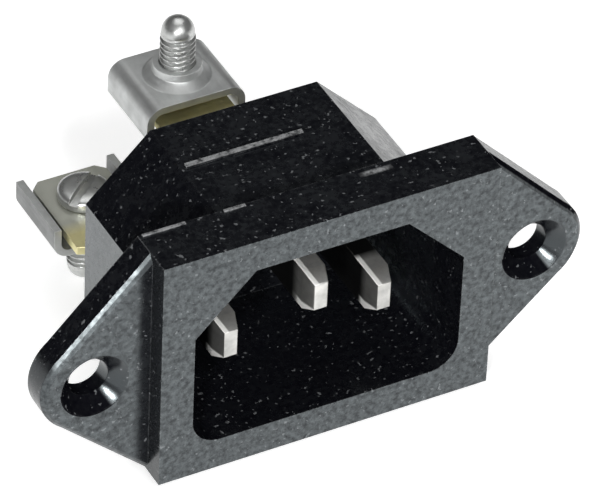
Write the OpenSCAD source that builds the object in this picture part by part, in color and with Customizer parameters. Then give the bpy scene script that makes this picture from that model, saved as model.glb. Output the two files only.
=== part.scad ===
// Panel inlet for an appliance: a three-blade plug recess in a screw-fixed flange.
// The blades run through the back wall to three screw terminals.
// X runs to the right, Y to the back and Z up. Every length is in millimetres.
// The origin is the middle of the two fixing holes, on the flange's seating face.

/* [Flange] */
// Distance between the two fixing holes
hole_spacing = 40; // [38:0.5:44]
// Radius of each ear's rounded end
ear_r = 4.6; // [4.4:0.1:5.2]
// Thickness of the flange
flange_t = 2.75; // [2.4:0.05:3.2]
// Diameter of each fixing hole
hole_d = 3.5; // [3:0.1:3.7]
// Diameter of each countersink at the ear's front
sink_d = 5.9; // [5.2:0.1:6.4]
// Width of the bevel along the ears' front edge
ear_bevel = 0.5; // [0.2:0.05:0.7]

/* [Collar] */
// Width of the raised collar in front
collar_w = 30.2; // [29:0.2:31.4]
// Height of the raised collar
collar_h = 22.5; // [21.7:0.2:23.3]
// How far the collar stands out of the ears
collar_proud = 1.95; // [1.6:0.05:2.6]
// How far the collar, recess and shroud sit above the fixing holes
rise = 0.4; // [0:0.1:0.8]

/* [Plug recess] */
// Width of the recess
recess_w = 24.3; // [24:0.1:24.6]
// Height of the recess
recess_h = 16.6; // [16.2:0.1:17]
// Slanted top corners of the recess, measured along each side
recess_chamfer = 5.3; // [4.3:0.1:5.5]
// Radius of the recess's two bottom corners
recess_r = 2.6; // [1.6:0.2:3.4]
// Depth of the recess from the collar's face
recess_depth = 15.2; // [14.5:0.1:15.8]

/* [Shroud] */
// Width of the shroud behind the flange
shroud_w = 26.6; // [26.2:0.1:27.4]
// Height of the shroud
shroud_h = 20.3; // [19.5:0.2:20.9]
// Thickness of the wall behind the recess
back_wall = 2.3; // [2:0.1:3.2]
// Slanted top corners of the shroud, measured along each side
shroud_chamfer = 5.7; // [5.4:0.1:6.2]
// Radius of the shroud's two bottom corners
shroud_r = 3; // [2:0.2:3.6]

/* [Contact blades] */
// Width of each blade
blade_w = 2; // [1.9:0.05:2.1]
// Height of each blade
blade_h = 4; // [3.9:0.05:4.1]
// Distance between the line blade and the neutral blade
blade_spacing = 14; // [13.8:0.1:14.2]
// How far the earth blade sits above the other two
earth_rise = 4; // [3.8:0.1:4.2]
// How far the line and neutral tips stay behind the collar's face
line_tip = 3.6; // [3.2:0.1:4.6]
// How far the earth tip stays behind the collar's face
earth_tip = 1.6; // [1.2:0.1:2.2]

/* [Terminals] */
// Distance from the back wall to the terminal screws
screw_reach = 10.1; // [9.8:0.1:11]
// How far the line and neutral screws sit outside their blades
screw_outset = 1.4; // [0.8:0.1:1.6]
// Outer width of a clamp channel
clamp_w = 9.1; // [8.9:0.1:9.8]
// Length of a clamp channel along the wire
clamp_l = 7.4; // [6.8:0.1:7.8]
// Wall of a clamp channel
clamp_t = 0.7; // [0.6:0.05:0.75]
// Outer radius of a clamp channel's bends
clamp_bend = 1.5; // [1.3:0.1:1.6]
// Gap for the wire between tail and clamp, as the clamp now stands
wire_gap = 1; // [0.9:0.05:1.2]
// Thickness of a blade's flat tail
tail_t = 0.8; // [0.7:0.05:0.9]
// Thread diameter of the terminal screws
screw_d = 3; // [2.9:0.05:3.1]
// Diameter of a terminal screw's head
head_d = 4.6; // [4.4:0.1:5.4]
// Height of a terminal screw's head
head_h = 1.2; // [1.1:0.05:1.6]
// How far a screw's tip stands out of its clamp's plate
tip_out = 5.8; // [5.4:0.1:6.6]

/* [Hidden] */
$fn = 72;

// Distance that cutters run past a face
past = 1;
// Distance that one solid is sunk into the solid it joins
sunk = 0.5;
// Planes along Y, from the front to the back
ear_y = -flange_t;
face_y = ear_y - collar_proud;
recess_floor_y = face_y + recess_depth;
shroud_y = recess_floor_y + back_wall;
screw_y = shroud_y + screw_reach;

// Blade centres; the line and neutral blades share a height
line_z = rise - earth_rise / 2;
earth_z = rise + earth_rise / 2;
line_x = -blade_spacing / 2;

// Clearance between a screw and the holes it turns in
screw_clear = 0.08;
// Clearance between a screw's head and the tail above it
head_clear = 0.05;
// Clearance between the tail's edges and the clamp's walls
tail_clear = 0.4;
// How far the tail ends before the clamp's rear edge
tail_short = 0.2;
// Slanted corners of the tail's end
tail_corner = 0.8;
tail_w = clamp_w - 2 * clamp_t - 2 * tail_clear;
tail_end_y = screw_y + clamp_l / 2 - tail_short;

// How far the tail's underside lies below the blade's edge
tail_inset = 0.1;
// Heights of a terminal's pieces, counted from its blade's centre
tail_low = blade_h / 2 - tail_inset;
tail_high = tail_low + tail_t;
web_low = tail_high + wire_gap;
web_high = web_low + clamp_t;
// Depth of the clamp's side walls below its plate's outer face
wall_h = 3;
// The drawn collar round the clamp's threaded hole: its wall, radius and height
drawn_t = 0.6;
drawn_r = screw_d / 2 + drawn_t;
drawn_h = 1.3;
// The flare at the drawn collar's foot: how far it spreads, and its height
flare_out = 0.8;
flare_h = 0.6;
// The plain point beyond the screw's thread: its length, step and radius
point_h = 1.5;
point_step = 0.1;
point_r = screw_d / 2 - point_step;
// Screwdriver slot in the head, and its angle from the X axis
slot_w = 0.8;
slot_h = 0.6;
slot_turn = -40;

// Details of the shroud: back seats round the blades, top rib, flange gussets
seat_t = 1;
seat_side = 1.6;
seat_end = 1.2;
rib_x = -1.9;
rib_y = 7.1;
rib_l = 10.6;
rib_w = 0.4;
rib_h = 0.3;
gusset_x = 5.8;
gusset_w = 1.6;
gusset_l = 1.3;
gusset_drop = 0.3;

// Low seams on the collar's top, near its rear edge: start and length along X, place, width, height
seams = [[-14.8, 3.8], [-7.6, 1.9]];
seam_y = -0.1;
seam_w = 0.3;
seam_h = 0.15;

// Bevelled tip, shoulder behind the seats, neck, and how it widens to the tail
tip_l = 1.4;
tip_side = 0.4;
tip_rise = 0.7;
shoulder_w = 3.4;
neck_l = 2.6;
widen_lead = 0.6;
widen_l = 0.8;
neck_end_y = shroud_y + seat_t + neck_l;
tail_start_y = neck_end_y + widen_l;

// Prism of a front-view outline between two planes along Y
module slab(y0, y1) {
    translate([0, y1, 0])
        rotate([90, 0, 0])
            linear_extrude(height = y1 - y0)
                children();
}

// Front-view outline with slanted top corners and round bottom corners
module notched(w, h, chamfer, r) {
    polygon([
        [-w / 2, -h / 2 + r],
        [-w / 2 + r, -h / 2],
        [w / 2 - r, -h / 2],
        [w / 2, -h / 2 + r],
        [w / 2, h / 2 - chamfer],
        [w / 2 - chamfer, h / 2],
        [-w / 2 + chamfer, h / 2],
        [-w / 2, h / 2 - chamfer]
    ]);
    for (side = [-1, 1])
        translate([side * (w / 2 - r), -h / 2 + r])
            circle(r = r);
}

// Distance from a fixing hole to the straight edges, which cross the ear's round end cleanly
ear_lap = 0.03;
edge_r = ear_r - ear_lap;

// Angle, from the X axis, of the straight edge's normal between an ear and a collar corner
function edge_normal(corner) =
    let (run = corner - [hole_spacing / 2, 0])
    atan2(run[1], run[0]) - sign(run[1]) * acos(edge_r / norm(run));

// Where the straight edges meet the collar's right-hand wall, a step short of its corners
corner_step = 0.06;
corner_h = collar_h / 2 - corner_step;
corners = [[collar_w / 2, rise + corner_h], [collar_w / 2, rise - corner_h]];
function ear_point(corner) =
    [hole_spacing / 2, 0] + edge_r * [cos(edge_normal(corner)), sin(edge_normal(corner))];

// Front-view outline of the flange's straight-sided middle, which ends at the round ears
module flange_middle() {
    half = [
        corners[0],
        ear_point(corners[0]),
        [hole_spacing / 2, 0],
        ear_point(corners[1]),
        corners[1]
    ];
    for (side = [0, 1])
        mirror([side, 0])
            polygon(concat(half, [[0, corners[1][1]], [0, corners[0][1]]]));
}

// Cutter for the bevel along one straight edge between the right-hand ear and the collar
module edge_bevel(corner) {
    length = norm(corner - ear_point(corner));
    rotate([0, 0, edge_normal(corner)])
        translate([edge_r, (corner[1] > 0 ? length : 0) + past, 0])
            rotate([90, 0, 0])
                linear_extrude(height = length + 2 * past)
                    polygon([
                        [-ear_bevel, 0],
                        [0, -ear_bevel],
                        [past, -ear_bevel],
                        [past, past],
                        [-ear_bevel, past]
                    ]);
}

// Round end of the right-hand ear, with its bevel in front
module ear_end() {
    translate([hole_spacing / 2, 0, 0])
        rotate([90, 0, 0]) {
            cylinder(h = flange_t - ear_bevel, r = ear_r);
            translate([0, 0, flange_t - ear_bevel])
                cylinder(h = ear_bevel, r1 = ear_r, r2 = ear_r - ear_bevel);
        }
}

// Cutter for the right-hand fixing hole and its countersink
module fixing_hole() {
    sink_depth = (sink_d - hole_d) / 2;
    translate([hole_spacing / 2, past, 0])
        rotate([90, 0, 0])
            cylinder(h = flange_t + 2 * past, d = hole_d);
    translate([hole_spacing / 2, ear_y + sink_depth, 0])
        rotate([90, 0, 0])
            cylinder(h = sink_depth + past, d1 = hole_d, d2 = sink_d + 2 * past);
}

// Both ears, with bevelled front edges and countersunk holes
module ears() {
    difference() {
        union() {
            difference() {
                slab(ear_y, 0)
                    flange_middle();
                for (side = [0, 1], corner = corners)
                    mirror([side, 0, 0])
                        translate([hole_spacing / 2, ear_y, 0])
                            rotate([90, 0, 0])
                                edge_bevel(corner);
            }
            for (side = [0, 1])
                mirror([side, 0, 0])
                    ear_end();
        }
        for (side = [0, 1])
            mirror([side, 0, 0])
                fixing_hole();
    }
}

// Front view of the collar
module collar_outline() {
    translate([-collar_w / 2, rise - collar_h / 2])
        square([collar_w, collar_h]);
}

// Small triangular ribs that brace the flange from the shroud's top
module gussets() {
    shroud_top = rise + shroud_h / 2;
    flange_top = rise + collar_h / 2 - gusset_drop;
    for (side = [-1, 1])
        translate([side * gusset_x + gusset_w / 2, 0, 0])
            rotate([90, 0, -90])
                linear_extrude(height = gusset_w)
                    polygon([
                        [sunk, shroud_top - sunk],
                        [sunk, flange_top],
                        [0, flange_top],
                        [-gusset_l, shroud_top],
                        [-gusset_l, shroud_top - sunk]
                    ]);
}

// Low rib across the shroud's flat top, where the mould's slide closes
module slide_rib() {
    translate([-rib_l / 2 + rib_x, rib_y, rise + shroud_h / 2 - sunk])
        cube([rib_l, rib_w, rib_h + sunk]);
}

// Low seams where the mould's halves met on the collar's top
module mould_seams() {
    for (seam = seams)
        translate([seam[0], seam_y - seam_w, rise + collar_h / 2 - sunk])
            cube([seam[1], seam_w, seam_h + sunk]);
}

// Raised seat round each blade on the back wall
module blade_seats() {
    seat_w = blade_w + 2 * seat_side;
    seat_h = blade_h + 2 * seat_end;
    for (place = [[line_x, line_z], [-line_x, line_z], [0, earth_z]])
        translate([place[0] - seat_w / 2, shroud_y - sunk, place[1] - seat_h / 2])
            cube([seat_w, seat_t + sunk, seat_h]);
}

// Moulded body in one piece: ears, collar, shroud and back wall
module housing() {
    color([0.06, 0.062, 0.068])
        difference() {
            union() {
                ears();
                slab(face_y, 0)
                    collar_outline();
                slab(ear_y, shroud_y)
                    translate([0, rise])
                        notched(shroud_w, shroud_h, shroud_chamfer, shroud_r);
                gussets();
                slide_rib();
                mould_seams();
                blade_seats();
            }
            slab(face_y - past, recess_floor_y)
                translate([0, rise])
                    notched(recess_w, recess_h, recess_chamfer, recess_r);
            for (place = [[line_x, line_z], [-line_x, line_z], [0, earth_z]])
                translate([place[0] - blade_w / 2, recess_floor_y - past, place[1] - blade_h / 2])
                    cube([blade_w, shroud_y + seat_t - recess_floor_y + 2 * past, blade_h]);
        }
}

// Outline of a blade with its tip bevelled on both sides, from the tip to the neck's end
module blade_outline(width, tip_y, inset) {
    polygon([
        [-width / 2 + inset, tip_y],
        [width / 2 - inset, tip_y],
        [width / 2, tip_y + tip_l],
        [width / 2, neck_end_y],
        [-width / 2, neck_end_y],
        [-width / 2, tip_y + tip_l]
    ]);
}

// Contact blade in one stamping: bevelled tip, shoulder and flat tail with a screw hole.
// Heights count from the blade's centre; a tail_side of -1 hangs the tail below.
module contact_blade(tip_y, tail_side, outset) {
    mirror([0, 0, tail_side < 0 ? 1 : 0])
        difference() {
            union() {
                intersection() {
                    translate([0, 0, -blade_h])
                        linear_extrude(height = 2 * blade_h)
                            blade_outline(blade_w, tip_y, tip_side);
                    rotate([0, 90, 0])
                        translate([0, 0, -blade_w])
                            linear_extrude(height = 2 * blade_w)
                                blade_outline(blade_h, tip_y, tip_rise);
                }
                translate([-shoulder_w / 2, shroud_y + seat_t, -blade_h / 2])
                    cube([shoulder_w, neck_end_y - shroud_y - seat_t, blade_h / 2 + tail_high]);
                translate([0, 0, tail_low])
                    linear_extrude(height = tail_t)
                        tail_outline(outset);
            }
            translate([outset, screw_y, -blade_h])
                cylinder(h = 3 * blade_h, d = screw_d + 2 * screw_clear);
        }
}

// Top view of the flat tail, which widens from the neck to the screw
module tail_outline(outset) {
    polygon([
        [-shoulder_w / 2, shroud_y + seat_t],
        [shoulder_w / 2, shroud_y + seat_t],
        [shoulder_w / 2, neck_end_y - widen_lead],
        [outset + tail_w / 2, tail_start_y],
        [outset + tail_w / 2, tail_end_y - tail_corner],
        [outset + tail_w / 2 - tail_corner, tail_end_y],
        [outset - tail_w / 2 + tail_corner, tail_end_y],
        [outset - tail_w / 2, tail_end_y - tail_corner],
        [outset - tail_w / 2, tail_start_y],
        [-shoulder_w / 2, neck_end_y - widen_lead]
    ]);
}

module earth_blade() {
    color([0.78, 0.72, 0.5])
        translate([0, 0, earth_z])
            contact_blade(face_y + earth_tip, 1, 0);
}

module line_blade() {
    color([0.78, 0.72, 0.5])
        translate([line_x, 0, line_z])
            contact_blade(face_y + line_tip, -1, -screw_outset);
}

module neutral_blade() {
    color([0.78, 0.72, 0.5])
        translate([-line_x, 0, line_z])
            contact_blade(face_y + line_tip, -1, screw_outset);
}

// Front view of a clamp's channel, open towards the blade's centre
module channel_outline() {
    inner_w = clamp_w - 2 * clamp_t;
    inner_bend = clamp_bend - clamp_t;
    difference() {
        bent_top(clamp_w, web_high, clamp_bend, web_high - wall_h);
        bent_top(inner_w, web_low, inner_bend, web_high - wall_h - past);
    }
}

// Upright block of the given width from foot to top, with both top corners rounded
module bent_top(w, top, r, foot) {
    polygon([
        [-w / 2, foot],
        [w / 2, foot],
        [w / 2, top - r],
        [w / 2 - r, top],
        [-w / 2 + r, top],
        [-w / 2, top - r]
    ]);
    for (side = [-1, 1])
        translate([side * (w / 2 - r), top - r])
            circle(r = r);
}

// Clamp in one folded strip: a channel over the tail, with a drawn, flared and tapped collar
module clamp_channel(side) {
    mirror([0, 0, side < 0 ? 1 : 0])
        difference() {
            union() {
                slab(screw_y - clamp_l / 2, screw_y + clamp_l / 2)
                    channel_outline();
                translate([0, screw_y, web_low])
                    cylinder(h = clamp_t + drawn_h, r = drawn_r);
                translate([0, screw_y, web_high])
                    cylinder(h = flare_h, r1 = drawn_r + flare_out, r2 = drawn_r);
            }
            translate([0, screw_y, web_low - past])
                cylinder(h = clamp_t + drawn_h + 2 * past, d = screw_d + screw_clear);
        }
}

module earth_clamp() {
    color([0.62, 0.64, 0.64])
        translate([0, 0, earth_z])
            clamp_channel(1);
}

module line_clamp() {
    color([0.62, 0.64, 0.64])
        translate([line_x - screw_outset, 0, line_z])
            clamp_channel(-1);
}

module neutral_clamp() {
    color([0.62, 0.64, 0.64])
        translate([screw_outset - line_x, 0, line_z])
            clamp_channel(-1);
}

// Terminal screw: slotted head under the tail, shank through the clamp, plain domed point
module terminal_screw(side) {
    head_top = tail_low - head_clear;
    shank_top = web_high + tip_out - point_h;
    dome_z = web_high + tip_out - point_r;
    mirror([0, 0, side < 0 ? 1 : 0])
        translate([0, screw_y, 0]) {
            difference() {
                translate([0, 0, head_top - head_h])
                    cylinder(h = head_h, d = head_d);
                rotate([0, 0, side * slot_turn])
                    translate([-head_d, -slot_w / 2, head_top - head_h - past])
                        cube([2 * head_d, slot_w, slot_h + past]);
            }
            translate([0, 0, head_top - sunk])
                cylinder(h = shank_top - head_top + sunk, d = screw_d);
            translate([0, 0, shank_top - sunk])
                cylinder(h = dome_z - shank_top + sunk, r = point_r);
            translate([0, 0, dome_z])
                sphere(r = point_r);
        }
}

module earth_screw() {
    color([0.7, 0.71, 0.7])
        translate([0, 0, earth_z])
            terminal_screw(1);
}

module line_screw() {
    color([0.7, 0.71, 0.7])
        translate([line_x - screw_outset, 0, line_z])
            terminal_screw(-1);
}

module neutral_screw() {
    color([0.7, 0.71, 0.7])
        translate([screw_outset - line_x, 0, line_z])
            terminal_screw(-1);
}

housing();
earth_blade();
line_blade();
neutral_blade();
earth_clamp();
line_clamp();
neutral_clamp();
earth_screw();
line_screw();
neutral_screw();
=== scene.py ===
import math

import bmesh
import bpy
from mathutils import Matrix, Vector


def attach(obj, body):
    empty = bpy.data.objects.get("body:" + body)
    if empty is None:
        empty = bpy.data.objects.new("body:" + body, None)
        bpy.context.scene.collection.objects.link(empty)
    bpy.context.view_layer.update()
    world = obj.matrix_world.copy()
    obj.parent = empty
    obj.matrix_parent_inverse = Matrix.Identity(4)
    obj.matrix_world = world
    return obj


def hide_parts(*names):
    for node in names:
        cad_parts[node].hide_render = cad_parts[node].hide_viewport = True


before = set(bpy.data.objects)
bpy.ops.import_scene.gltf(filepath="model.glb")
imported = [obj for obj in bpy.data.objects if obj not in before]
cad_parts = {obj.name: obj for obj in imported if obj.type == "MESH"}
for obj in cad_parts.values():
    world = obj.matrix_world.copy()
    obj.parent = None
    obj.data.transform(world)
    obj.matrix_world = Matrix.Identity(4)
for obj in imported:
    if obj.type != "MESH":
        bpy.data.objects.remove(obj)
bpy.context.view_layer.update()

MM = 0.001
SCENE = bpy.context.scene

# Camera at the photograph's viewing angle, fitted to the flange, collar and shroud corners
AZIMUTH = math.radians(-29.285)
ELEVATION = math.radians(39.423)
ROLL = math.radians(2.611)
DISTANCE = 463.2 * MM
LENS = 346.3
LOOK_AT = Vector((-0.413, 0.0, 5.053)) * MM


def add_camera():
    back = Vector((math.sin(AZIMUTH) * math.cos(ELEVATION),
                   -math.cos(AZIMUTH) * math.cos(ELEVATION),
                   math.sin(ELEVATION)))
    right = (-back).cross(Vector((0, 0, 1))).normalized()
    up = right.cross(-back)
    image_right = math.cos(ROLL) * right + math.sin(ROLL) * up
    image_up = -math.sin(ROLL) * right + math.cos(ROLL) * up
    data = bpy.data.cameras.new("photo_camera")
    data.sensor_fit = "HORIZONTAL"
    data.sensor_width = 36.0
    data.lens = LENS
    data.clip_start = 0.01
    data.clip_end = 20.0
    camera = bpy.data.objects.new("photo_camera", data)
    SCENE.collection.objects.link(camera)
    axes = Matrix((image_right, image_up, back)).transposed().to_4x4()
    camera.matrix_world = Matrix.Translation(LOOK_AT + back * DISTANCE) @ axes
    SCENE.camera = camera


add_camera()


class Nodes:
    """A material's node tree, with short calls to add and join nodes."""

    def __init__(self, tree):
        self.tree = tree
        tree.nodes.clear()

    def add(self, kind, **values):
        node = self.tree.nodes.new(kind)
        for key, value in values.items():
            setattr(node, key, value)
        return node

    def put(self, socket, value):
        if isinstance(value, bpy.types.NodeSocket):
            self.tree.links.new(value, socket)
        else:
            socket.default_value = value

    def math(self, operation, a, b=0.0, clamp=False):
        node = self.add("ShaderNodeMath", operation=operation, use_clamp=clamp)
        self.put(node.inputs[0], a)
        self.put(node.inputs[1], b)
        return node.outputs[0]

    def span(self, value, low, high, to_low=0.0, to_high=1.0):
        node = self.add("ShaderNodeMapRange")
        node.clamp = True
        for socket, item in zip(node.inputs, (value, low, high, to_low, to_high)):
            self.put(socket, item)
        return node.outputs[0]

    def noise(self, place, scale, detail=2.0, roughness=0.5):
        node = self.add("ShaderNodeTexNoise")
        self.put(node.inputs["Vector"], place)
        node.inputs["Scale"].default_value = scale
        node.inputs["Detail"].default_value = detail
        node.inputs["Roughness"].default_value = roughness
        return node.outputs[0]

    def stretched(self, place, scale):
        node = self.add("ShaderNodeMapping")
        self.put(node.inputs["Vector"], place)
        node.inputs["Scale"].default_value = scale
        return node.outputs[0]

    def mix(self, share, a, b):
        node = self.add("ShaderNodeMix", data_type="RGBA")
        self.put(node.inputs["Factor"], share)
        self.put(node.inputs["A"], a)
        self.put(node.inputs["B"], b)
        return node.outputs["Result"]

    def bump(self, height, depth, strength, normal=None):
        node = self.add("ShaderNodeBump")
        node.inputs["Strength"].default_value = strength
        node.inputs["Distance"].default_value = depth
        self.put(node.inputs["Height"], height)
        if normal is not None:
            self.put(node.inputs["Normal"], normal)
        return node.outputs[0]

    def edges(self, radius, low, high):
        """0 on flat faces, 1 along outer edges and corners."""
        bevel = self.add("ShaderNodeBevel", samples=6)
        bevel.inputs["Radius"].default_value = radius
        face = self.add("ShaderNodeNewGeometry")
        dot = self.add("ShaderNodeVectorMath", operation="DOT_PRODUCT")
        self.put(dot.inputs[0], bevel.outputs[0])
        self.put(dot.inputs[1], face.outputs["True Normal"])
        return self.span(dot.outputs["Value"], high, low)


def place_socket(nodes):
    return nodes.add("ShaderNodeTexCoord").outputs["Object"]


def new_material(name):
    material = bpy.data.materials.new(name)
    material.use_nodes = True
    nodes = Nodes(material.node_tree)
    shader = nodes.add("ShaderNodeBsdfPrincipled")
    output = nodes.add("ShaderNodeOutputMaterial")
    nodes.put(output.inputs["Surface"], shader.outputs[0])
    return material, nodes, shader


def rgb(r, g, b):
    return (r, g, b, 1.0)


def countersinks(nodes, place):
    """1 inside the two countersinks, 0 outside."""
    split = nodes.add("ShaderNodeSeparateXYZ")
    nodes.put(split.inputs[0], place)
    across = nodes.math("SUBTRACT", nodes.math("ABSOLUTE", split.outputs["X"]), 20.0 * MM)
    square = nodes.math("ADD", nodes.math("MULTIPLY", across, across),
                        nodes.math("MULTIPLY", split.outputs["Z"], split.outputs["Z"]))
    return nodes.span(nodes.math("SQRT", square), 3.06 * MM, 3.0 * MM)


def dark_parts(nodes, place):
    """1 where the dark side of the studio shows: the countersinks' lower left, the right ear's top bevel."""
    split = nodes.add("ShaderNodeSeparateXYZ")
    nodes.put(split.inputs[0], place)
    x, z = split.outputs["X"], split.outputs["Z"]
    across = nodes.math("SUBTRACT", x, nodes.math("MULTIPLY", nodes.math("SIGN", x), 20.0 * MM))
    turn = nodes.math("ARCTAN2", z, across)
    lower = nodes.math("MULTIPLY", nodes.span(turn, math.radians(-55.0), math.radians(-62.0)),
                       countersinks(nodes, place))
    facing = nodes.add("ShaderNodeSeparateXYZ")
    nodes.put(facing.inputs[0], nodes.add("ShaderNodeNewGeometry").outputs["Normal"])
    bevel = nodes.math("MULTIPLY", nodes.span(facing.outputs["Y"], -0.9, -0.8),
                       nodes.span(facing.outputs["Z"], 0.2, 0.4))
    bevel = nodes.math("MULTIPLY", bevel, nodes.span(facing.outputs["X"], 0.15, 0.3))
    bevel = nodes.math("MULTIPLY", bevel, nodes.span(x, 15.1 * MM, 15.4 * MM))
    for low, high in ((-2.58, -2.50), (-2.04, -2.12)):
        bevel = nodes.math("MULTIPLY", bevel, nodes.span(split.outputs["Y"], low * MM, high * MM))
    return nodes.math("MAXIMUM", lower, bevel)


def polished_sides(nodes, place):
    """Masks for the faces that left the mould glossiest: the fronts, and the shroud's left side."""
    facing = nodes.add("ShaderNodeSeparateXYZ")
    nodes.put(facing.inputs[0], nodes.add("ShaderNodeNewGeometry").outputs["Normal"])
    depth = nodes.add("ShaderNodeSeparateXYZ")
    nodes.put(depth.inputs[0], place)
    side = nodes.span(nodes.math("ABSOLUTE", depth.outputs["X"]), 15.7 * MM, 16.5 * MM)
    open_face = nodes.math("MAXIMUM", side, nodes.span(depth.outputs["Y"], -3.4 * MM, -3.8 * MM))
    open_face = nodes.math("MULTIPLY", open_face, nodes.span(depth.outputs["Y"], -1.8 * MM, -2.2 * MM))
    front = nodes.math("MULTIPLY", nodes.span(facing.outputs["Y"], -0.55, -0.7), open_face)
    left = nodes.math("MULTIPLY", nodes.span(facing.outputs["X"], -0.7, -0.92),
                      nodes.span(depth.outputs["Y"], -0.2 * MM, 0.0))
    return front, left


def even_bevels(nodes, place, rough):
    """Even gloss on the ears' bevels: a bright outer line and a duller inner part."""
    facing = nodes.add("ShaderNodeSeparateXYZ")
    nodes.put(facing.inputs[0], nodes.add("ShaderNodeNewGeometry").outputs["Normal"])
    depth = nodes.add("ShaderNodeSeparateXYZ")
    nodes.put(depth.inputs[0], place)
    slant = nodes.math("MULTIPLY", nodes.span(facing.outputs["Y"], -0.45, -0.6),
                       nodes.span(facing.outputs["Y"], -0.9, -0.8))
    level = nodes.span(depth.outputs["Y"], -2.54 * MM, -2.48 * MM, 0.56, 0.34)
    node = nodes.add("ShaderNodeMix", data_type="FLOAT")
    nodes.put(node.inputs["Factor"], slant)
    nodes.put(node.inputs["A"], rough)
    nodes.put(node.inputs["B"], level)
    return node.outputs["Result"]


def painted_glint_lines(nodes, place):
    """1 on the tops of the shroud's rib and gussets, on the collar's seams and on a patch of the collar's
    top, where pale colour is painted as highlight glints.
    """
    split = nodes.add("ShaderNodeSeparateXYZ")
    nodes.put(split.inputs[0], place)
    above = nodes.math("MULTIPLY", nodes.span(split.outputs["Z"], 10.66 * MM, 10.74 * MM),
                       nodes.span(split.outputs["Y"], 0.02 * MM, 0.1 * MM))
    lines = nodes.math("MAXIMUM", above, nodes.span(split.outputs["Z"], 11.68 * MM, 11.73 * MM))
    # Painted highlight: a pale patch on the collar's top near its rear edge.
    glint_patch = nodes.span(split.outputs["Z"], 11.50 * MM, 11.60 * MM)
    for axis, low, high in (("X", 4.2, 5.2), ("X", 7.3, 6.4), ("Y", -1.1, -0.9), ("Y", -0.4, -0.6)):
        glint_patch = nodes.math("MULTIPLY", glint_patch, nodes.span(split.outputs[axis], low * MM, high * MM))
    return nodes.math("MAXIMUM", lines, glint_patch)


def black_moulding():
    """Black thermoset: fine grain, mottled gloss, light specks, paler worn edges and painted highlights on
    raised lines.
    """
    material, nodes, shader = new_material("black_moulding")
    place = place_socket(nodes)
    mottle = nodes.noise(place, 1900.0, 3.0, 0.65)
    cloud = nodes.noise(place, 420.0, 2.0, 0.5)
    grain = nodes.noise(place, 6500.0, 2.0, 0.6)
    speck = nodes.span(nodes.noise(place, 2700.0, 1.0, 0.4), 0.69, 0.75)
    wear = nodes.math("MULTIPLY", nodes.edges(0.16 * MM, 0.86, 0.99),
                      nodes.span(mottle, 0.40, 0.62))
    base = nodes.mix(nodes.span(mottle, 0.35, 0.7), rgb(0.0035, 0.0036, 0.0055),
                     rgb(0.0075, 0.008, 0.010))
    base = nodes.mix(nodes.math("MULTIPLY", speck, 0.5), base, rgb(0.26, 0.27, 0.28))
    base = nodes.mix(nodes.math("MULTIPLY", wear, 0.30), base, rgb(0.24, 0.245, 0.25))
    # Painted highlights: pale colour on the rib, gusset and seam tops and on the collar patch, standing in
    # for glints.
    glints = nodes.math("MULTIPLY", painted_glint_lines(nodes, place), nodes.span(mottle, 0.36, 0.58, 0.15, 1.0))
    base = nodes.mix(glints, base, rgb(0.30, 0.305, 0.31))
    nodes.put(shader.inputs["Base Color"], base)
    rough = nodes.math("ADD", nodes.span(mottle, 0.3, 0.7, 0.16, 0.32),
                       nodes.span(cloud, 0.3, 0.7, -0.04, 0.08))
    sink = countersinks(nodes, place)
    flat = nodes.math("SUBTRACT", 1.0, sink)
    rough = even_bevels(nodes, place, rough)
    nodes.put(shader.inputs["Roughness"], nodes.math("ADD", nodes.math("MULTIPLY", rough, flat),
                                                     nodes.math("MULTIPLY", sink, 0.21)))
    front, left = polished_sides(nodes, place)
    front = nodes.math("MULTIPLY", front, flat)
    left = nodes.math("ADD", left, nodes.math("MULTIPLY", sink, 0.5))
    index = nodes.math("ADD", nodes.math("MULTIPLY", front, nodes.span(mottle, 0.32, 0.68, 0.06, 0.80)),
                       nodes.math("MULTIPLY", left, 0.45))
    index = nodes.math("MULTIPLY", nodes.math("ADD", index, 0.48),
                       nodes.math("SUBTRACT", 1.0, dark_parts(nodes, place)))
    nodes.put(shader.inputs["IOR"], nodes.math("ADD", index, 1.0))
    shader.inputs["Specular Tint"].default_value = rgb(0.87, 0.97, 1.0)
    normal = nodes.bump(mottle, 0.006 * MM, 0.35)
    nodes.put(shader.inputs["Normal"], nodes.bump(grain, 0.003 * MM, 0.35, normal))
    return material


def metal(name, light, dark, rough, streak_scale, side_shade_level=1.0):
    """Plated or bare metal with rolling streaks, stains, brighter edges and painted shade on side walls
    below z = 0.
    """
    material, nodes, shader = new_material(name)
    place = place_socket(nodes)
    streak = nodes.noise(nodes.stretched(place, streak_scale), 1.0, 3.0, 0.6)
    stain = nodes.noise(place, 520.0, 3.0, 0.55)
    pits = nodes.noise(place, 5200.0, 2.0, 0.5)
    base = nodes.mix(nodes.span(stain, 0.35, 0.68), light, dark)
    facing = nodes.add("ShaderNodeSeparateXYZ")
    nodes.put(facing.inputs[0], nodes.add("ShaderNodeNewGeometry").outputs["Normal"])
    split = nodes.add("ShaderNodeSeparateXYZ")
    nodes.put(split.inputs[0], place)
    # Painted shade: side walls facing left or right are darkened towards black on the clamps that sit below
    # z = 0.
    side = nodes.math("MULTIPLY", nodes.span(nodes.math("ABSOLUTE", facing.outputs["X"]), 0.7, 0.95),
                      nodes.span(split.outputs["Z"], 0.5 * MM, -0.5 * MM, 0.0, 1.0 - side_shade_level))
    base = nodes.mix(side, base, rgb(0.0, 0.0, 0.0))
    edge = nodes.edges(0.10 * MM, 0.84, 0.99)
    base = nodes.mix(nodes.math("MULTIPLY", edge, 0.4), base, rgb(0.93, 0.92, 0.90))
    nodes.put(shader.inputs["Base Color"], base)
    shader.inputs["Metallic"].default_value = 0.8
    low, high = rough
    nodes.put(shader.inputs["Roughness"],
              nodes.math("ADD", nodes.span(streak, 0.3, 0.7, low, high),
                         nodes.span(stain, 0.4, 0.75, 0.0, 0.10)))
    normal = nodes.bump(streak, 0.005 * MM, 0.4)
    nodes.put(shader.inputs["Normal"], nodes.bump(pits, 0.004 * MM, 0.4, normal))
    return material


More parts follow.
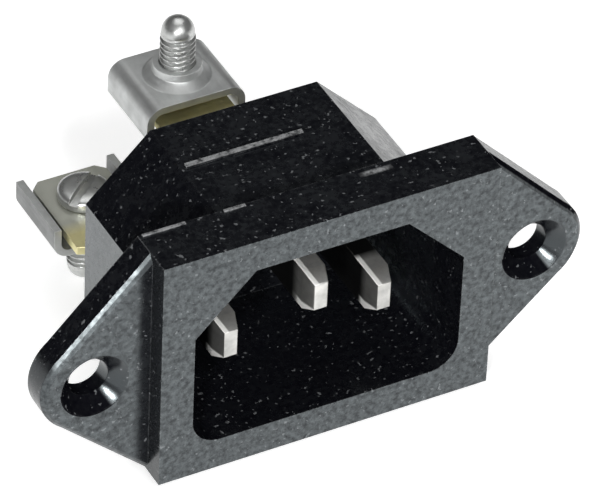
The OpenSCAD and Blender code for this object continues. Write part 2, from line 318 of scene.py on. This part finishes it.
def painted_rim_highlights(nodes, place):
    """1 where highlights are painted near a blade's tip: along the top's left edge and on the left flank's
    foot.
    """
    split = nodes.add("ShaderNodeSeparateXYZ")
    nodes.put(split.inputs[0], place)
    facing = nodes.add("ShaderNodeSeparateXYZ")
    nodes.put(facing.inputs[0], nodes.add("ShaderNodeNewGeometry").outputs["Normal"])
    outer = nodes.span(nodes.math("ABSOLUTE", split.outputs["X"]), 3.4 * MM, 3.6 * MM)
    centre = nodes.math("MULTIPLY", nodes.math("SIGN", split.outputs["X"]),
                        nodes.math("MULTIPLY", outer, 7.0 * MM))
    across = nodes.math("SUBTRACT", split.outputs["X"], centre)
    behind = nodes.math("ADD", split.outputs["Y"], nodes.span(outer, 0.0, 1.0, 3.1 * MM, 1.1 * MM))
    height = nodes.math("ADD", split.outputs["Z"], nodes.span(outer, 0.0, 1.0, -2.4 * MM, 1.6 * MM))
    from_edge = nodes.math("SUBTRACT", across, nodes.span(behind, 0.0, 1.4 * MM, -0.6 * MM, -1.0 * MM))
    top = nodes.math("MULTIPLY", nodes.span(from_edge, 0.46 * MM, 0.36 * MM),
                     nodes.span(facing.outputs["Z"], 0.25, 0.4))
    top = nodes.math("MULTIPLY", top, nodes.span(behind, 3.6 * MM, 3.0 * MM))
    foot = nodes.math("MULTIPLY", nodes.span(height, -1.15 * MM, -1.3 * MM),
                      nodes.span(facing.outputs["X"], -0.5, -0.7))
    foot = nodes.math("MULTIPLY", foot, nodes.span(behind, 2.5 * MM, 1.9 * MM))
    return nodes.math("MAXIMUM", top, foot)


def blade_metal():
    """Blade stamping: nickel plate on the contact end, bare brass behind the back wall, with painted shade
    deeper in the recess and painted highlights near the tips.
    """
    material, nodes, shader = new_material("blade_metal")
    place = place_socket(nodes)
    split = nodes.add("ShaderNodeSeparateXYZ")
    nodes.put(split.inputs[0], place)
    streak = nodes.noise(nodes.stretched(place, (5200.0, 260.0, 5200.0)), 1.0, 3.0, 0.6)
    stain = nodes.noise(place, 700.0, 3.0, 0.55)
    plated = nodes.span(split.outputs["Y"], 14.6 * MM, 13.4 * MM)
    nickel = nodes.mix(nodes.span(stain, 0.35, 0.7), rgb(0.80, 0.79, 0.76), rgb(0.50, 0.50, 0.48))
    brass = nodes.mix(nodes.span(stain, 0.3, 0.7), rgb(0.92, 0.85, 0.46), rgb(0.72, 0.66, 0.36))
    facing = nodes.add("ShaderNodeSeparateXYZ")
    nodes.put(facing.inputs[0], nodes.add("ShaderNodeNewGeometry").outputs["Normal"])
    # Painted shade: a little behind each tip the plated metal turns near-black, standing in for the shade
    # deep in the recess.
    middle = nodes.span(nodes.math("ABSOLUTE", split.outputs["X"]), 3.0 * MM, 4.0 * MM, 1.2 * MM, 0.0)
    top = nodes.span(facing.outputs["Z"], 0.3, 0.7, 0.0, 1.3 * MM)
    reach = nodes.math("SUBTRACT", nodes.math("ADD", split.outputs["Y"], middle), top)
    inside = nodes.math("MULTIPLY", nodes.span(reach, 0.2 * MM, 1.2 * MM), plated)
    # Painted shade: the upper part of each blade's left flank is darkened towards black.
    lift = nodes.span(nodes.math("ABSOLUTE", split.outputs["X"]), 3.0 * MM, 4.0 * MM, -4.0 * MM, 0.0)
    upper = nodes.span(nodes.math("ADD", split.outputs["Z"], lift), -2.95 * MM, -2.65 * MM)
    flank = nodes.span(facing.outputs["X"], -0.5, -0.8, 0.0, 0.5)
    nickel = nodes.mix(nodes.math("MULTIPLY", flank, upper), nickel, rgb(0.02, 0.02, 0.02))
    nickel = nodes.mix(inside, nickel, rgb(0.02, 0.02, 0.02))
    pale = nodes.math("MULTIPLY", nodes.span(split.outputs["Y"], 18.8 * MM, 20.4 * MM),
                      nodes.span(split.outputs["Z"], 3.0 * MM, 2.0 * MM))
    brass = nodes.mix(pale, brass, rgb(0.62, 0.63, 0.56))
    base = nodes.mix(plated, brass, nickel)
    edge = nodes.edges(0.10 * MM, 0.84, 0.99)
    base = nodes.mix(nodes.math("MULTIPLY", edge, 0.35), base, rgb(0.92, 0.88, 0.78))
    # Painted highlights: near-white, less metallic bands along the top's left edge and the left flank's foot
    # near each tip.
    rim_highlights = painted_rim_highlights(nodes, place)
    base = nodes.mix(nodes.math("MULTIPLY", rim_highlights, 0.9), base, rgb(0.96, 0.95, 0.92))
    nodes.put(shader.inputs["Base Color"], base)
    nodes.put(shader.inputs["Metallic"], nodes.span(rim_highlights, 0.0, 1.0, 0.82, 0.15))
    nodes.put(shader.inputs["Roughness"],
              nodes.math("ADD", nodes.span(streak, 0.3, 0.7, 0.34, 0.46),
                         nodes.span(stain, 0.4, 0.75, 0.0, 0.12)))
    nodes.put(shader.inputs["Normal"], nodes.bump(streak, 0.003 * MM, 0.4))
    return material


MOULDING = black_moulding()
BLADE = blade_metal()
CLAMP = metal("clamp_nickel", rgb(0.62, 0.635, 0.63), rgb(0.48, 0.49, 0.485), (0.38, 0.52),
              (4200.0, 220.0, 4200.0), 0.42)
SCREW = metal("screw_nickel", rgb(0.62, 0.63, 0.62), rgb(0.44, 0.45, 0.44), (0.24, 0.36),
              (1500.0, 1500.0, 5200.0))


def soft_shading():
    """Geometry nodes that shade smooth, except across edges sharper than SHARP."""
    group = bpy.data.node_groups.new("soft_shading", "GeometryNodeTree")
    group.interface.new_socket("Geometry", in_out="INPUT", socket_type="NodeSocketGeometry")
    group.interface.new_socket("Geometry", in_out="OUTPUT", socket_type="NodeSocketGeometry")
    nodes = Nodes(group)
    start = nodes.add("NodeGroupInput")
    end = nodes.add("NodeGroupOutput")
    faces = nodes.add("GeometryNodeSetShadeSmooth", domain="FACE")
    faces.inputs["Shade Smooth"].default_value = True
    edges = nodes.add("GeometryNodeSetShadeSmooth", domain="EDGE")
    edges.inputs["Shade Smooth"].default_value = False
    angle = nodes.add("GeometryNodeInputMeshEdgeAngle")
    sharp = nodes.add("FunctionNodeCompare", data_type="FLOAT", operation="GREATER_THAN")
    nodes.put(sharp.inputs[0], angle.outputs[0])
    sharp.inputs[1].default_value = math.radians(40.0)
    nodes.put(faces.inputs["Geometry"], start.outputs[0])
    nodes.put(edges.inputs["Geometry"], faces.outputs[0])
    nodes.put(edges.inputs["Selection"], sharp.outputs[0])
    nodes.put(end.inputs[0], edges.outputs[0])
    return group


SOFT_SHADING = soft_shading()


def dress(node, material, edge_radius, segments=2):
    """Give a CAD node its material and rounded edges, without touching its mesh."""
    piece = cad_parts[node]
    for index in range(max(1, len(piece.material_slots))):
        if index < len(piece.material_slots):
            piece.material_slots[index].material = material
        else:
            piece.data.materials.append(material)
    weld = piece.modifiers.new("weld", "WELD")
    weld.merge_threshold = 1e-6
    flat = piece.modifiers.new("flat", "DECIMATE")
    flat.decimate_type = "DISSOLVE"
    flat.angle_limit = math.radians(0.5)
    bevel = piece.modifiers.new("edges", "BEVEL")
    bevel.width = edge_radius
    bevel.segments = segments
    bevel.limit_method = "ANGLE"
    bevel.angle_limit = math.radians(28.0)
    bevel.use_clamp_overlap = True
    shade = piece.modifiers.new("shading", "NODES")
    shade.node_group = SOFT_SHADING
    weighted = piece.modifiers.new("normals", "WEIGHTED_NORMAL")
    weighted.keep_sharp = True
    weighted.weight = 90
    return piece


dress("housing", MOULDING, 0.13 * MM, 3)
for name in ("earth_blade", "line_blade", "neutral_blade"):
    dress(name, BLADE, 0.18 * MM, 3)
for name in ("earth_clamp", "line_clamp", "neutral_clamp"):
    dress(name, CLAMP, 0.07 * MM)

# Terminal screws, with distances along the screw counted from its blade's centre as in the CAD
PITCH = 0.5
MAJOR_R = 1.5
MINOR_R = 1.19
POINT_R = 1.4
HEAD_R = 2.3
HEAD_TOP = 0.65
HEAD_FACE = 1.85
THREAD_START = 2.75
THREAD_END = 8.65
DOME = 8.8
TURNS = 64


def thread_radius(w, angle):
    """Radius of a right-hand metric thread at distance w and an angle in radians."""
    phase = (w / PITCH - angle / (2 * math.pi)) % 1.0
    flank = 1.0 - abs(2.0 * phase - 1.0)
    height = min(1.0, max(0.0, (flank - 0.12) / 0.66))
    ends = min(1.0, (w - THREAD_START) / 0.4, (THREAD_END - w) / 0.35)
    full = MINOR_R + (MAJOR_R - MINOR_R) * height
    blunt = MAJOR_R - 0.06 if w < (THREAD_START + THREAD_END) / 2 else POINT_R
    ends = max(0.0, ends)
    return blunt + (min(full, MAJOR_R) - blunt) * ends


def screw_rows():
    """Profile rows as (distance, radius or None for the thread)."""
    rows = [(HEAD_TOP, 0.7), (HEAD_TOP + 0.01, 1.2), (HEAD_TOP + 0.05, 1.6),
            (HEAD_TOP + 0.12, 1.9), (HEAD_TOP + 0.23, 2.12), (HEAD_TOP + 0.38, 2.25),
            (HEAD_TOP + 0.55, HEAD_R), (HEAD_FACE - 0.15, HEAD_R), (HEAD_FACE - 0.05, HEAD_R - 0.03),
            (HEAD_FACE, HEAD_R - 0.1), (HEAD_FACE, 1.6), (HEAD_FACE + 0.06, MAJOR_R - 0.03),
            (HEAD_FACE + 0.2, MAJOR_R - 0.06), (THREAD_START, MAJOR_R - 0.06)]
    step = PITCH / 10
    count = int(round((THREAD_END - THREAD_START) / step))
    rows += [(THREAD_START + step * k, None) for k in range(1, count)]
    rows += [(THREAD_END, POINT_R), (DOME - 0.08, POINT_R - 0.03)]
    for k in range(9):
        turn = math.radians(10.0 * k)
        rows.append((DOME + POINT_R * math.sin(turn), POINT_R * math.cos(turn)))
    return rows


def screw_mesh(name):
    """Slotted pan head, threaded shank and plain domed point, along +Z from the head."""
    mesh = bmesh.new()
    rings = []
    for w, radius in screw_rows():
        ring = []
        for k in range(TURNS):
            angle = 2 * math.pi * k / TURNS
            r = thread_radius(w, angle) if radius is None else radius
            ring.append(mesh.verts.new((r * math.cos(angle), r * math.sin(angle), w)))
        rings.append(ring)
    bottom = mesh.verts.new((0, 0, HEAD_TOP))
    top = mesh.verts.new((0, 0, DOME + POINT_R))
    for k in range(TURNS):
        after = (k + 1) % TURNS
        mesh.faces.new((bottom, rings[0][after], rings[0][k]))
        mesh.faces.new((top, rings[-1][k], rings[-1][after]))
        for low, high in zip(rings, rings[1:]):
            mesh.faces.new((low[k], low[after], high[after], high[k]))
    bmesh.ops.scale(mesh, vec=(MM, MM, MM), verts=mesh.verts)
    data = bpy.data.meshes.new(name)
    mesh.to_mesh(data)
    mesh.free()
    return data


def slot_cutter(angle):
    """Box that cuts the screwdriver slot."""
    mesh = bmesh.new()
    bmesh.ops.create_cube(mesh, size=1.0)
    bmesh.ops.scale(mesh, vec=(8 * MM, 0.8 * MM, 2.5 * MM), verts=mesh.verts)
    bmesh.ops.rotate(mesh, cent=(0, 0, 0), matrix=Matrix.Rotation(angle, 3, "Z"), verts=mesh.verts)
    data = bpy.data.meshes.new("slot_cutter")
    mesh.to_mesh(data)
    mesh.free()
    cutter = bpy.data.objects.new("slot_cutter", data)
    SCENE.collection.objects.link(cutter)
    return cutter


def terminal_screw(name, x, z, side):
    """A screw standing at its place; a side of -1 turns the point downwards."""
    piece = bpy.data.objects.new("threaded_" + name, screw_mesh("threaded_" + name))
    SCENE.collection.objects.link(piece)
    cutter = slot_cutter(math.radians(-40.0))
    cut = piece.modifiers.new("slot", "BOOLEAN")
    cut.operation = "DIFFERENCE"
    cut.object = cutter
    cut.solver = "EXACT"
    bpy.context.view_layer.update()
    solid = bpy.data.meshes.new_from_object(piece.evaluated_get(
        bpy.context.evaluated_depsgraph_get()))
    piece.modifiers.clear()
    bpy.data.objects.remove(cutter)
    turn = Matrix.Rotation(0.0 if side > 0 else math.pi, 4, "X")
    solid.transform(Matrix.Translation(Vector((x, SCREW_Y, z)) * MM) @ turn)
    piece.data = solid
    piece.data.materials.clear()
    piece.data.materials.append(SCREW)
    bevel = piece.modifiers.new("edges", "BEVEL")
    bevel.width = 0.05 * MM
    bevel.segments = 2
    bevel.limit_method = "ANGLE"
    bevel.angle_limit = math.radians(50.0)
    shade = piece.modifiers.new("shading", "NODES")
    shade.node_group = SOFT_SHADING
    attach(piece, name + "_body")
    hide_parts(name)
    return piece


SCREW_Y = 22.9
terminal_screw("earth_screw", 0.0, 2.4, 1)
terminal_screw("line_screw", -8.4, -1.6, -1)
terminal_screw("neutral_screw", 8.4, -1.6, -1)


def add_floor():
    """Plain white floor that the camera and reflections see as white, with a soft shadow."""
    size = 6.0
    height = -11.85 * MM
    data = bpy.data.meshes.new("floor")
    data.from_pydata([(-size, -size, height), (size, -size, height), (size, size, height),
                      (-size, size, height)], [], [(0, 1, 2, 3)])
    floor = bpy.data.objects.new("floor", data)
    SCENE.collection.objects.link(floor)
    material = bpy.data.materials.new("white_floor")
    material.use_nodes = True
    nodes = Nodes(material.node_tree)
    paper = nodes.add("ShaderNodeBsdfDiffuse")
    paper.inputs["Color"].default_value = rgb(0.8, 0.8, 0.8)
    glow = nodes.add("ShaderNodeEmission")
    path = nodes.add("ShaderNodeLightPath")
    seen = nodes.math("ADD", path.outputs["Is Camera Ray"], path.outputs["Is Glossy Ray"])
    seen = nodes.math("ADD", seen, path.outputs["Is Transmission Ray"], clamp=True)
    nodes.put(glow.inputs["Strength"], nodes.math("MULTIPLY", seen, 0.62))
    both = nodes.add("ShaderNodeAddShader")
    nodes.put(both.inputs[0], paper.outputs[0])
    nodes.put(both.inputs[1], glow.outputs[0])
    nodes.put(nodes.add("ShaderNodeOutputMaterial").inputs["Surface"], both.outputs[0])
    data.materials.append(material)


def add_lamp(name, azimuth, elevation, distance, size, power):
    """Square lamp that faces the object from a compass angle and height in degrees."""
    a, e = math.radians(azimuth), math.radians(elevation)
    toward = Vector((math.sin(a) * math.cos(e), -math.cos(a) * math.cos(e), math.sin(e)))
    data = bpy.data.lights.new(name, "AREA")
    data.shape = "SQUARE"
    data.size = size
    data.energy = power
    lamp = bpy.data.objects.new(name, data)
    lamp.location = toward * distance
    lamp.rotation_euler = toward.to_track_quat("Z", "Y").to_euler()
    SCENE.collection.objects.link(lamp)


def add_world():
    world = bpy.data.worlds.new("studio")
    world.use_nodes = True
    nodes = Nodes(world.node_tree)
    sky = nodes.add("ShaderNodeBackground")
    split = nodes.add("ShaderNodeSeparateXYZ")
    nodes.put(split.inputs[0], nodes.add("ShaderNodeTexCoord").outputs["Generated"])
    nodes.put(sky.inputs["Strength"], nodes.span(split.outputs["Z"], 0.0, 0.10, 0.8, 0.02))
    nodes.put(nodes.add("ShaderNodeOutputWorld").inputs["Surface"], sky.outputs[0])
    SCENE.world = world


add_floor()
add_lamp("low_key", -39.0, 22.0, 1.0, 0.10, 5.0)
add_lamp("front_fill", -8.0, 38.0, 1.1, 0.7, 7.0)
add_lamp("overhead", 150.0, 76.0, 1.0, 0.9, 3.6)
add_world()

SCENE.view_settings.view_transform = "Standard"
